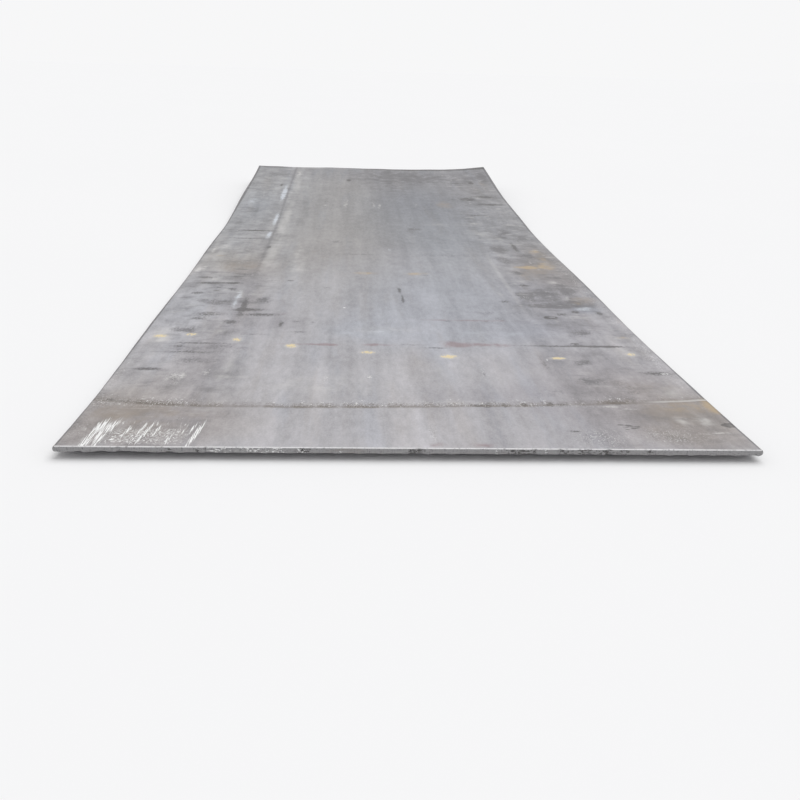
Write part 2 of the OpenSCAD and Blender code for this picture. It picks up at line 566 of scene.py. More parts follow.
class PlateShape(bpy.types.PropertyGroup):
    """Sizes of the rolled plate."""

    plate_length: length("Length", "Length between the two cut ends", HIGH.y - LOW.y)
    plate_width: length("Width", "Width over the two mill edges", 2.0)
    thickness: length("Thickness", "Thickness of the plate", 16 * MM)
    edge_bulge: length("Edge bulge", "How far the mill edges bulge beyond the flat faces", 5 * MM)
    edge_wander: length("Edge wander", "How far the mill edges wander in", 6 * MM)
    edge_wave: length("Edge wave", "Length of one wander of a mill edge", 1.7)
    front_rise: length("Front rise", "Height that the front end lifts", 18 * MM)
    front_reach: length("Front reach", "Length of the lifted front stretch", 1.75)
    back_rise: length("Back rise", "Height that the back end rises beyond the bend", 120 * MM)
    back_reach: length("Back reach", "Distance of the start of the bend from the back end", 2.6)
    bend_length: length("Bend length", "Length of the bend along the plate", 0.4)
    left_corner: length("Left corner", "Extra lift of the left back corner", 5 * MM)
    right_corner: length("Right corner", "Extra lift of the right back corner", 40 * MM)
    corner_reach: length("Corner reach", "Length of a lifted corner", 1.3)
    corner_span: length("Corner span", "Width of a lifted corner", 0.6)
    crease_distance: length("Crease distance", "Distance of the crease from the front end", 0.375)
    crease_slope: angle("Crease slope", "Angle that the front end turns up at the crease", 0.5)
    crease_depth: length("Crease depth", "Depth of the pressed crease line", 1.4 * MM)
    arris: length("Arris", "Radius of the melted arris on top of a cut end", 2 * MM)
    nick_radius: length("Nick radius", "Radius of the torch nicks", 8 * MM)
    nick_depth: length("Nick depth", "Depth of the torch nicks", 4 * MM)
    columns: count("Columns", "Mesh columns across", 280, 20)
    nose_steps: count("Nose steps", "Steps round a mill edge", 6, 4)
    arris_steps: count("Arris steps", "Mesh rows over an arris", 4, 2)


class PlateFinish(bpy.types.PropertyGroup):
    """Colours of the mill scale, the stains and the cut faces."""

    dark_scale: colour("Dark scale", "Darkest tone of the mill scale", (0.220, 0.214, 0.225))
    pale_scale: colour("Pale scale", "Palest tone of the mill scale", (0.582, 0.568, 0.594))
    # Painted shade towards the back end of the top face.
    far_shade_tint: colour("Far tint", "Tint of the back end", (0.697, 0.712, 0.703))
    warm_tint: colour("Warm tint", "Tint of the brownish zones", (0.932, 0.895, 0.848))
    cool_tint: colour("Cool tint", "Tint of the bluish zones", (0.890, 0.935, 0.990))
    olive_tint: colour("Olive tint", "Tint of the oily corners", (0.970, 0.935, 0.850))
    # This tint lays the darker zones and also the painted shade towards the right side.
    dark_zone_and_shade_tint: colour("Shade tint", "Tint of the darker zones", (0.800, 0.792, 0.805))
    # Besides smudges, this colour lays painted shade: the rims of the mill edges, the ridge's dark side,
    # the underside's edges and faint rows at the back and right.
    smudge_and_shade: colour("Smudge", "Dark handling smudges", (0.120, 0.116, 0.122))
    crease: colour("Crease", "Scale crushed in the crease", (0.140, 0.118, 0.098))
    rust: colour("Rust", "Brown rust stains", (0.265, 0.228, 0.198))
    red_rust: colour("Red rust", "Red-brown line across the plate", (0.225, 0.140, 0.140))
    ochre: colour("Ochre", "Yellow rust stains", (0.485, 0.355, 0.190))
    paint: colour("Paint", "Yellow dabs of marking paint", (0.730, 0.600, 0.330))
    # This colour also lays the painted highlight beside the ridge.
    cream: colour("Cream", "Pale rubbed patches", (0.610, 0.595, 0.580))
    frost: colour("Frost", "Bluish pale bars and washes", (0.600, 0.635, 0.690))
    chalk: colour("Chalk", "Chalk strokes and white specks", (0.860, 0.860, 0.855))
    cut_steel: colour("Cut steel", "Torch-cut end faces", (0.340, 0.335, 0.340))
    # This colour also lays the painted shade along the back end's edge.
    slag_soot_and_shade: colour("Slag", "Slag in the gouges, and soot in the thin streaks", (0.045, 0.042, 0.040))
    # Painted highlight of the top arris of the cut ends.
    arris_highlight: colour("Bright steel", "Rubbed arris of the cut ends", (0.740, 0.735, 0.740))


class PlateStage(bpy.types.PropertyGroup):
    """Floor, light and camera."""

    floor_tone: colour("Floor", "Colour of the floor and the backdrop", (0.93, 0.93, 0.935))
    floor_reach: length("Floor reach", "Distance of the floor's edges from the middle", 80.0)
    sky_light: number("Sky", "Strength of the soft light all round", 0.66)
    sun_light: number("Sun", "Strength of the soft lamp overhead", 1.35)
    sun_spread: angle("Sun spread", "Angle that the soft lamp fills", 60)
    sun_back: angle("Sun back", "Tilt of the lamp about the x axis", -22)
    sun_side: angle("Sun side", "Tilt of the lamp about the y axis", 14)
    focal: number("Focal length", "Lens in millimetres", 41.27)
    eye: FloatVectorProperty(
        name="Eye", description="Place of the camera", default=(-0.1869, -5.3478, 1.0556), unit="LENGTH"
    )
    pitch: angle("Pitch", "Tilt down", 20.395)
    yaw: angle("Yaw", "Turn to the right", 3.40)
    roll: angle("Roll", "Lean", -1.689)


def wander(along, wave, seed, octaves=5):
    """Sum of sines within about 1: each octave is about half as long and half as high, seeded in phase."""
    draw = np.random.default_rng(seed)
    total = np.zeros_like(along)
    for octave in range(octaves):
        stretch = draw.uniform(0.85, 1.15) * 2**octave
        total += 0.5**octave * np.sin(2 * np.pi * along * stretch / wave + draw.uniform(0, 2 * np.pi))
    return total / 1.5


def front_lift(shape, from_front):
    """Elastic line of the curled front end: rise times (4 s cubed - s to the fourth) / 3, s up to 1."""
    share = np.maximum(0, 1 - from_front / shape.front_reach)
    return shape.front_rise * (4 * share**3 - share**4) / 3


def back_lift(shape, from_back):
    """Rise of the back end: a parabola over the bend, then a straight slope, full at the end."""
    past = np.maximum(0, shape.back_reach - from_back)
    curved = np.minimum(past, shape.bend_length)
    climb = curved**2 / shape.bend_length / 2 + past - curved
    return shape.back_rise * climb / (shape.back_reach - shape.bend_length / 2)


def lift(shape, x, y):
    """Height of the underside above the floor: curled front, bent back, raised corners and the crease."""
    from_front = shape.plate_length / 2 + y
    from_back = shape.plate_length / 2 - y
    along = np.maximum(0, 1 - from_back / shape.corner_reach)
    across = np.maximum(0, 1 - (shape.plate_width / 2 - np.abs(x)) / shape.corner_span)
    corner = np.where(x < 0, shape.left_corner, shape.right_corner)
    return (
        front_lift(shape, from_front)
        + back_lift(shape, from_back)
        + corner * along**2 * across**2
        + np.maximum(0, shape.crease_distance - from_front) * np.tan(shape.crease_slope)
    )


def crease_line(x):
    """Distance of the pressed crease from the front end: a shallow bow, hooked back at the left end."""
    hook = CREASE_HOOK * np.maximum(0, -x - HOOK_START) ** 2
    return CREASE_MIDDLE + CREASE_LEAN * x + CREASE_BOW * x**2 + hook


def stations(shape):
    """Distances from the front end: an arris at each cut end, and steps that grow towards the back."""
    arris = shape.arris * (1 - np.cos(np.linspace(0, np.pi / 2, shape.arris_steps)))
    near = np.arange(END_GAP, NEAR_END, NEAR_STEP)
    middle = np.arange(NEAR_END, MIDDLE_END, MIDDLE_STEP)
    far = np.arange(MIDDLE_END, shape.plate_length - END_GAP, FAR_STEP)
    return np.concatenate([arris, near, middle, far, shape.plate_length - arris[::-1]])


def section(shape):
    """Closed section in x and height share: flat faces, and mill edges that bulge as half ellipses."""
    flat = shape.plate_width / 2 - shape.edge_bulge
    across = np.linspace(-flat, flat, shape.columns + 1)
    turn = np.pi / 2 - np.pi * np.arange(1, shape.nose_steps) / shape.nose_steps
    nose_x = flat + shape.edge_bulge * np.cos(turn)
    nose_z = (1 + np.sin(turn)) / 2
    x = np.concatenate([across, nose_x, across[::-1], -nose_x[::-1]])
    z = np.concatenate([np.ones_like(across), nose_z, np.zeros_like(across), nose_z[::-1]])
    return x, z


def nick_inset(shape, x):
    """Depth of the front cut at x: the deepest of the round nicks, from the circle's own height."""
    centres = np.array(NICK_SHARES) * shape.plate_width / 2
    off = x[..., None] - centres
    circle = np.sqrt(np.maximum(0, shape.nick_radius**2 - off**2))
    return np.maximum(0, circle - shape.nick_radius + shape.nick_depth).max(axis=-1)


def edge_inset(shape, side, y):
    """How far a mill edge lies in: a sine, half a wave apart on the two sides, and fine ripples."""
    sway = shape.edge_wander * (1 + np.sin(2 * np.pi * y / shape.edge_wave + side * np.pi / 2)) / 2
    left, right = wander(y, LEFT_RIPPLE_WAVE, SEED), wander(y, RIGHT_RIPPLE_WAVE, SEED + 1)
    return sway + EDGE_RIPPLE * (1 + np.where(side < 0, left, right))


def cut_shift(shape, x, y):
    """How far a cut end is moved in along y: nicks and a wandering line in front, such a line behind."""
    front = nick_inset(shape, x) + FRONT_CUT_SWAY * (1 + wander(x, FRONT_CUT_WAVE, SEED + 2))
    back = BACK_CUT_SWAY * (1 + wander(x, BACK_CUT_WAVE, SEED + 3))
    return np.where(y < 0, front, -back)


def top_relief(shape, x, y, from_front):
    """Relief of the top face: the product of two slanted waves, a bell-shaped ridge, less the crease."""
    press = np.exp(-(((from_front - crease_line(x)) / CREASE_WIDTH) ** 2))
    press = press * (0.7 + 0.3 * wander(x, CREASE_WAVE, SEED + 4))
    waves = wander(x + ACROSS_SLANT * y, ACROSS_WAVE, SEED + 5, 3)
    waves = waves * wander(y - ALONG_SLANT * x, ALONG_WAVE, SEED + 6, 3)
    ridge = np.exp(-(((x - RIDGE_X) / RIDGE_WIDTH) ** 2))
    ridge = ridge * np.clip((from_front - RIDGE_START) / RIDGE_RUN_IN, 0, 1)
    return FACE_WAVE_HEIGHT * waves + RIDGE_HEIGHT * ridge - shape.crease_depth * press


def cut_hang(x, y):
    """How far metal hangs below a cut end: dross, less the scallops at the left of the front cut."""
    dross = DROSS_HEIGHT * np.maximum(0, wander(x, DROSS_WAVE, SEED + 7)) ** 2
    swayed = x + SCALLOP_SWAY * wander(x, SCALLOP_WAVE, SEED + 9)
    scallop = SCALLOP_HEIGHT * np.abs(np.sin(np.pi * swayed / SCALLOP_PITCH))
    scallop = scallop * np.clip((SCALLOPS_RIGHT - x) / RIGHT_RUN_OUT, 0, 1)
    scallop = scallop * np.clip((x - SCALLOPS_LEFT) / LEFT_RUN_OUT, 0, 1)
    return dross - np.where(y < 0, scallop, 0)


def plate_points(shape):
    """The section carried along the stations, with cut lines, mill edges and surface relief."""
    x, share = section(shape)
    from_front = stations(shape)[:, None]
    from_end = np.minimum(from_front, shape.plate_length - from_front)
    y = from_front - shape.plate_length / 2
    x = np.broadcast_to(x, (len(from_front), len(x)))
    x = x * (1 - edge_inset(shape, np.sign(x), y) / (shape.plate_width / 2))
    fade = np.maximum(0, 1 - from_end / CUT_FADE)
    y = y + fade * cut_shift(shape, x, y)

    over_arris = np.maximum(0, shape.arris - from_end)
    arris_drop = shape.arris - np.sqrt(shape.arris**2 - over_arris**2)
    height = np.minimum(shape.thickness * share, shape.thickness - arris_drop)
    relief = top_relief(shape, x, y, from_front) * (1 - fade)
    buckle = BUCKLE_HEIGHT * wander(x, BUCKLE_WAVE, SEED + 10, 3)
    buckle = buckle * np.clip(1 - from_end / BUCKLE_REACH, 0, 1) ** 2
    hang = cut_hang(x, y) * np.maximum(0, 1 - from_end / DROSS_REACH)
    z = lift(shape, x, y) + height + np.where(share == 1, relief, 0)
    z = z + np.where(y > 0, buckle, 0) - np.where(share == 0, hang, 0)
    return np.stack([x, y, z], axis=-1)


def cut_face(shape, ring):
    """Rows between the top and bottom edge of a cut face, set back by the torch's drag waves."""
    columns, steps = shape.columns, shape.nose_steps
    top = ring[: columns + 1]
    bottom = ring[columns + steps : 2 * columns + steps + 1][::-1]
    down = (np.arange(1, steps) / steps)[:, None, None]
    rows = top * (1 - down) + bottom * down
    drag = wander(rows[..., 0] + DRAG_LEAN * rows[..., 2], DRAG_WAVE, SEED + 8, 3)
    inward = -np.sign(rows[..., 1])
    rows[..., 1] += inward * DRAG_DEPTH * (1 + drag) * np.sin(np.pi * down[..., 0])
    return rows


def wall_faces(ring_count, around):
    """Quads between each two rings, all round the section."""
    station, i = np.meshgrid(np.arange(ring_count - 1), np.arange(around), indexing="ij")
    j = (i + 1) % around
    near, far = station * around, (station + 1) * around
    return np.stack([near + i, near + j, far + j, far + i], axis=-1).reshape(-1, 4)


def cap_faces(shape, start, inner):
    """Faces of a cut end, seen from the front: a grid of quads and the two rounded mill edges."""
    columns, steps = shape.columns, shape.nose_steps
    bottom_left = 2 * columns + steps
    around = 2 * columns + 2 * steps
    grid = np.empty((steps + 1, columns + 1), int)
    grid[0] = start + np.arange(columns + 1)
    grid[-1] = start + bottom_left - np.arange(columns + 1)
    grid[1:-1] = inner + np.arange((steps - 1) * (columns + 1)).reshape(steps - 1, columns + 1)
    quads = np.stack([grid[1:, :-1], grid[1:, 1:], grid[:-1, 1:], grid[:-1, :-1]], axis=-1)
    faces = quads.reshape(-1, 4).tolist()
    right = start + columns + np.arange(steps + 1)
    left = start + (around - np.arange(steps + 1)) % around
    for outer, line, turned in ((right, grid[:, -1], False), (left, grid[:, 0], True)):
        for k in range(steps):
            loop = list(dict.fromkeys([line[k], line[k + 1], outer[k + 1], outer[k]]))
            faces.append(loop[::-1] if turned else loop)
    return [[int(i) for i in face] for face in faces]


def plate_mesh(shape):
    """Points of the closed plate, the quads of its walls and the faces of its two cut ends."""
    rings = plate_points(shape)
    ring_count, around = rings.shape[:2]
    front, back = cut_face(shape, rings[0]), cut_face(shape, rings[-1])
    points = np.concatenate([rings.reshape(-1, 3), front.reshape(-1, 3), back.reshape(-1, 3)])
    walls = wall_faces(ring_count, around)
    inner = ring_count * around
    front_faces = cap_faces(shape, 0, inner)
    back_faces = cap_faces(shape, inner - around, inner + front.size // 3)
    back_faces = [face[::-1] for face in back_faces]
    return points, walls, front_faces + back_faces


class Shade:
    """A material's node tree, with short calls that add a node after the nodes that feed it."""

    def __init__(self, name):
        self.material = bpy.data.materials.new(name)
        self.material.use_nodes = True
        self.nodes = self.material.node_tree.nodes
        self.links = self.material.node_tree.links
        self.shader = self.nodes["Principled BSDF"]
        self.base = None
        self.place = self.nodes.new("ShaderNodeTexCoord").outputs["Object"]
        self.x, self.y, self.z = self.split(self.place)

    def wire(self, socket, value):
        """Link a socket to another, or set its own value."""
        if isinstance(value, bpy.types.NodeSocket):
            self.links.new(value, socket)
        else:
            socket.default_value = value

    def split(self, place):
        """The three coordinates of a place."""
        node = self.nodes.new("ShaderNodeSeparateXYZ")
        self.wire(node.inputs[0], place)
        return tuple(node.outputs)

    def math(self, operation, first, second=0.0, third=0.0):
        """One arithmetic step on up to three values."""
        node = self.nodes.new("ShaderNodeMath")
        node.operation = operation
        for socket, value in zip(node.inputs, (first, second, third)):
            self.wire(socket, value)
        return node.outputs[0]

    def times(self, *values):
        """Product of several values."""
        total = values[0]
        for value in values[1:]:
            total = self.math("MULTIPLY", total, value)
        return total

    def moved(self, place, centre=(0, 0, 0), size=(1, 1, 1)):
        """Place measured from a centre in units of a size."""
        node = self.nodes.new("ShaderNodeMapping")
        node.vector_type = "TEXTURE"
        self.wire(node.inputs["Vector"], place)
        node.inputs["Location"].default_value = centre
        node.inputs["Scale"].default_value = size
        return node.outputs[0]

    def noise(self, size, detail=3.0, rough=0.55, centre=(0, 0, 0), out="Fac"):
        """Noise with features of about the given size along x, y and z."""
        spread = self.moved(self.place, centre, size)
        node = self.nodes.new("ShaderNodeTexNoise")
        self.wire(node.inputs["Vector"], spread)
        node.inputs["Scale"].default_value = 1.0
        node.inputs["Detail"].default_value = detail
        node.inputs["Roughness"].default_value = rough
        return node.outputs[out]

    def step(self, value, low, high, most=1.0):
        """Smooth step from 0 at low to the most at high."""
        node = self.nodes.new("ShaderNodeMapRange")
        node.interpolation_type = "SMOOTHSTEP"
        for name, setting in (("Value", value), ("From Min", low), ("From Max", high), ("To Max", most)):
            self.wire(node.inputs[name], setting)
        return node.outputs[0]

    def strip(self, value, centre, half, soft, most=1.0):
        """The most where a value is within half of a centre, fading to 0 over the soft width."""
        off = self.math("ABSOLUTE", self.math("SUBTRACT", value, centre))
        return self.step(off, half + soft, half, most)

    def mix(self, share, first, second, blend="MIX"):
        """Colour between two colours."""
        node = self.nodes.new("ShaderNodeMix")
        node.data_type = "RGBA"
        node.blend_type = blend
        for name, value in (("Factor_Float", share), ("A_Color", first), ("B_Color", second)):
            socket = next(s for s in node.inputs if s.identifier == name)
            self.wire(socket, value if isinstance(value, (float, bpy.types.NodeSocket)) else (*value, 1.0))
        return next(s for s in node.outputs if s.identifier == "Result_Color")

    def lay(self, cover, tone, blend="MIX"):
        """Lay a tone over the base, by a cover from 0 to 1."""
        self.base = self.mix(cover, self.base, tone, blend)

    def warped(self, amount, size):
        """Place shifted along x and y by a coloured noise, so that edges drawn on it are ragged."""
        jitter = self.noise((*size, 1), 4.0, 0.6, out="Color")
        node = self.nodes.new("ShaderNodeVectorMath")
        node.operation = "MULTIPLY_ADD"
        self.wire(node.inputs[0], jitter)
        node.inputs[1].default_value = (2 * amount[0], 2 * amount[1], 0)
        self.wire(node.inputs[2], self.place)
        shifted = self.nodes.new("ShaderNodeVectorMath")
        shifted.operation = "SUBTRACT"
        self.wire(shifted.inputs[0], node.outputs[0])
        shifted.inputs[1].default_value = (*amount, 0)
        return shifted.outputs[0]

    def marks(self, shape, table, place):
        """Sum over a table's marks of strength times (1 - r) squared, r from 0 to 1 at a mark's rim."""
        total = 0.0
        for from_left, from_front, half_width, half_length, strength in table:
            centre = (from_left * MM - shape.plate_width / 2, from_front * MM - shape.plate_length / 2, 0)
            rim = (MARK_RIM * half_width * MM, MARK_RIM * half_length * MM, 100)
            spread = self.moved(place, centre, rim)
            node = self.nodes.new("ShaderNodeTexGradient")
            node.gradient_type = "QUADRATIC_SPHERE"
            self.wire(node.inputs[0], spread)
            total = self.math("MULTIPLY_ADD", node.outputs["Fac"], strength, total)
        return total

    def stain(self, shape, table, place, textures, low, high, most):
        """Cover of a table's marks times textures: 0 up to the low sum, the most from the high one on."""
        heap = self.times(self.marks(shape, table, place), *textures)
        return self.step(heap, low, high, most)

    def bump(self, height, distance, strength, under=None):
        """Bump from a height, over an earlier bump."""
        node = self.nodes.new("ShaderNodeBump")
        node.inputs["Strength"].default_value = strength
        node.inputs["Distance"].default_value = distance
        self.wire(node.inputs["Height"], height)
        if under is not None:
            self.wire(node.inputs["Normal"], under)
        return node.outputs[0]

    def finish(self, roughness, normal, metallic, specular=0.35):
        """Wire the base and the rest to the shader."""
        self.shader.inputs["Specular IOR Level"].default_value = specular
        self.wire(self.shader.inputs["Base Color"], self.base)
        self.wire(self.shader.inputs["Roughness"], roughness)
        self.wire(self.shader.inputs["Normal"], normal)
        self.shader.inputs["Metallic"].default_value = metallic
        return self.material


def rolled_tone(shade, shape):
    """Tone of the mill scale about 0.5: bands along y, clouds, blotches, mottle, speckle and grain."""
    half = shape.plate_width / 2
    left = shade.step(shade.x, 0.55 - half, 0.35 - half)
    right = shade.step(shade.x, half - 0.50, half - 0.35)
    sides = shade.math("MULTIPLY_ADD", shade.math("MAXIMUM", left, right), 0.75, 0.25)
    fields = (
        ((0.120, 7.0, 1), 1.5, 0.50, 0.50),
        ((0.055, 0.7, 1), 1.5, 0.50, 0.50),
        ((0.450, 0.9, 1), 2.0, 0.50, 0.45),
        ((0.240, 0.28, 1), 2.0, 0.50, shade.times(sides, 0.9)),
        ((0.080, 0.14, 1), 3.0, 0.55, shade.times(sides, 0.9)),
        ((0.018, 0.06, 1), 2.0, 0.60, 0.45),
        ((0.005, 0.010, 0.005), 2.0, 0.60, 0.46),
    )
    tone = 0.5
    for size, detail, rough, weight in fields:
        field = shade.math("SUBTRACT", shade.noise(size, detail, rough), 0.5)
        tone = shade.math("MULTIPLY_ADD", field, weight, tone)
    return tone


def lay_scale(shade, shape, finish, ragged):
    """Mill scale between its two tones, with painted shade darkening it to the back and the right, and its
    tinted zones.
    """
    half = shape.plate_length / 2
    shade.base = shade.mix(rolled_tone(shade, shape), finish.dark_scale, finish.pale_scale)
    # Painted shade: the top face grows darker towards the back end.
    shade.lay(shade.step(shade.y, DIM_START - half, DIM_END - half), finish.far_shade_tint, "MULTIPLY")
    # Painted shade: light falling off towards the right side, laid as a darker tint across x.
    shade.lay(shade.step(shade.x, -0.15, 0.95, 0.6), finish.dark_zone_and_shade_tint, "MULTIPLY")
    hue = shade.noise((0.13, 1.2, 1), 4.0, 0.65, (0.5, 0.2, 0))
    zones = (
        (WARM_ZONES, finish.warm_tint, shade.step(hue, 0.50, 0.68, 0.5)),
        (COOL_ZONES, finish.cool_tint, shade.step(hue, 0.50, 0.32, 0.5)),
        (OLIVE_ZONES, finish.olive_tint, 0.0),
        (SHADE_ZONES, finish.dark_zone_and_shade_tint, 0.0),
    )
    for table, tint, least in zones:
        zone = shade.stain(shape, table, ragged, (), 0.0, 1.0, 0.95)
        shade.lay(shade.math("MAXIMUM", zone, least), tint, "MULTIPLY")


def edge_lip_and_shade(shade, shape):
    """Cover of the dark rims along the two mill edges, twice as broad at the back end: painted shade of
    the rounded edges, with some dark burr.
    """
    half = shape.plate_width / 2
    broad = shade.step(shade.y, 0.0, 2.0, 12 * MM)
    reach = shade.math("ADD", shade.math("ABSOLUTE", shade.x), broad)
    return shade.step(reach, half - 15 * MM, half - 9 * MM, 0.85)


def lay_sides(shade, shape, finish):
    """Dark and pale dashes and dabs along the two sides, busier beyond the paint dabs."""
    half = shape.plate_length / 2
    textures = (
        ((0.14, 0.065, 1), 0.5, (0.3, 0.8, 0), 0.57, 0.34, 0.18),
        ((0.055, 0.045, 1), 0.6, (0.8, 0.2, 0), 0.58, 0.26, 0.20),
    )
    sides = shade.step(shade.math("ABSOLUTE", shade.x), 0.50, 0.66)
    busy = shade.math("ADD", shade.step(shade.y, 1.0 - half, 1.5 - half, 0.62), 0.70)
    sides = shade.times(sides, busy)
    for size, rough, centre, start, dark, pale in textures:
        field = shade.noise(size, 3.0, rough, centre)
        shade.lay(shade.times(shade.step(field, start, 0.70, dark), sides), finish.smudge_and_shade)
        shade.lay(shade.times(shade.step(field, 0.40, 0.28, pale), sides), finish.cream)


def lay_ridge(shade, shape, finish, crisp):
    """The long ridge's dark side, painted shade, and the patchy pale band beside it, a painted highlight,
    and the scored line at the right.
    """
    half = shape.plate_length / 2
    ragged_x, _, _ = shade.split(crisp)
    # Painted shade along the ridge's left side.
    dark = shade.strip(ragged_x, RIDGE_DARK_X, 2 * MM, 12 * MM, 0.36)
    shade.lay(shade.times(dark, shade.step(shade.y, 1.7 - half, 3.0 - half)), finish.smudge_and_shade)
    # Painted highlight in a pale band beside the ridge.
    pale = shade.strip(ragged_x, RIDGE_PALE_X, 10 * MM, 34 * MM, 0.42)
    highlight_patches = shade.step(shade.noise((0.12, 0.55, 1), 3.0, 0.6, (0.5, 0.7, 0)), 0.30, 0.68)
    shade.lay(shade.times(pale, highlight_patches, shade.step(shade.y, 2.0 - half, 3.0 - half)), finish.cream)
    score = shade.strip(ragged_x, SCORE_X, 3 * MM, 14 * MM, 0.14)
    shade.lay(shade.times(score, shade.strip(shade.y, 2.2 - half, 0.3, 0.5)), finish.cream)


def lay_crease(shade, shape, finish, grit):
    """The crushed dark band of the crease, the white grains behind it and its cream right end."""
    half = shape.plate_length / 2
    _, swayed_y, _ = shade.split(shade.warped((0.0, 0.012), (0.14, 0.30)))
    bow = shade.math("MULTIPLY_ADD", shade.x, CREASE_BOW, CREASE_LEAN)
    crease_y = shade.math("MULTIPLY_ADD", bow, shade.x, CREASE_MIDDLE - half)
    hooked = shade.math("MAXIMUM", shade.math("SUBTRACT", -HOOK_START, shade.x), 0.0)
    crease_y = shade.math("MULTIPLY_ADD", shade.times(hooked, hooked), CREASE_HOOK, crease_y)
    past = shade.math("SUBTRACT", swayed_y, crease_y)
    parts = shade.stain(shape, CREASE_PARTS, shade.place, (), 0.0, 0.7, 1.0)
    depth = shade.math("MULTIPLY_ADD", parts, 0.62, 0.38)
    fine = shade.step(grit, 0.36, 0.62)
    drift = shade.noise((0.075, 0.40, 1), 3.0, 0.6, (0.1, 0.6, 0))
    cluster = shade.step(drift, 0.36, 0.54)
    broken = shade.math("MULTIPLY_ADD", cluster, 0.60, 0.40)
    line = shade.times(shade.strip(past, -2 * MM, 4 * MM, 14 * MM, 0.88), depth, broken)
    body = shade.times(shade.strip(past, 8 * MM, 7 * MM, 30 * MM, 0.95), depth, fine, cluster)
    dark = shade.math("MAXIMUM", line, body)
    grains = shade.noise((0.008, 0.020, 1), 3.0, 0.7, (0.7, 0.3, 0))
    pale = shade.times(
        shade.strip(past, 34 * MM, 6 * MM, 44 * MM, 0.95),
        shade.step(grains, 0.57, 0.67),
        depth,
        shade.step(drift, 0.42, 0.58),
    )
    cream = shade.strip(past, 2 * MM, 2 * MM, 10 * MM, 0.55)
    cream = shade.times(cream, shade.step(shade.x, 0.76, 0.86))
    for cover, tone in ((dark, finish.crease), (pale, finish.chalk), (cream, finish.cream)):
        shade.lay(cover, tone)


def lay_speckles(shade, shape, finish, crisp, grit):
    """Dark and white specks and curled white scuffs where the scale is chipped."""
    fine = shade.noise((0.005, 0.010, 1), 3.0, 0.65, (0.4, 0.1, 0))
    speckled = shade.stain(shape, SPECKLED, crisp, (), 0.12, 0.7, 1.0)
    shade.lay(shade.times(speckled, shade.step(fine, 0.45, 0.34, 0.55)), finish.smudge_and_shade)
    shade.lay(shade.times(speckled, shade.step(fine, 0.62, 0.72, 0.60)), finish.chalk)
    scuffs = shade.noise((0.028, 0.050, 1), 3.0, 0.6, (0.2, 0.9, 0))
    scuffs = shade.step(shade.math("PINGPONG", shade.times(scuffs, 8.0), 0.5), 0.10, 0.02, 0.8)
    shade.lay(shade.times(scuffs, speckled, shade.step(grit, 0.42, 0.58)), finish.chalk)


def patch(shade, shape, area):
    """Cover of an oblong area with a soft rim."""
    (x, from_front), (half_x, half_y), (soft_x, soft_y) = area
    across = shade.strip(shade.x, x, half_x, soft_x)
    return shade.times(across, shade.strip(shade.y, from_front - shape.plate_length / 2, half_y, soft_y))


def chalk_marks(shade, shape, grit):
    """Cover of the leaning chalk strokes, the scribble between them and the ticks above."""
    lean = shade.math("MULTIPLY_ADD", shade.y, -CHALK_LEAN, shade.x)
    lean = shade.math("ADD", lean, CHALK_LEAN * (CHALK_PIVOT - shape.plate_length / 2))
    leaning = shade.nodes.new("ShaderNodeCombineXYZ")
    for socket, value in zip(leaning.inputs, (lean, shade.y, shade.z)):
        shade.wire(socket, value)
    streaks = shade.noise((0.003, 0.09, 1), 3.0, 0.6, (0.2, 0.1, 0))
    streaks = shade.step(streaks, 0.36, 0.60, 1.6)
    strokes = shade.stain(shape, CHALK_STROKES, leaning.outputs[0], (streaks,), 0.26, 0.58, 0.95)
    scrawl = shade.noise((0.045, 0.030, 1), 1.5, 0.5, (0.6, 0.3, 0))
    scrawl = shade.step(shade.math("PINGPONG", shade.times(scrawl, 9.0), 0.5), 0.15, 0.05)
    rubbed = shade.step(grit, 0.36, 0.52)
    scrawl = shade.times(scrawl, patch(shade, shape, SCRIBBLE_AREA), rubbed, 0.92)
    tick = shade.step(shade.noise((0.007, 0.06, 1), 2.0, 0.5, (0.9, 0.4, 0)), 0.58, 0.68)
    tick = shade.times(tick, patch(shade, shape, TICK_AREA), 0.7)
    return shade.math("MAXIMUM", strokes, shade.math("MAXIMUM", scrawl, tick))


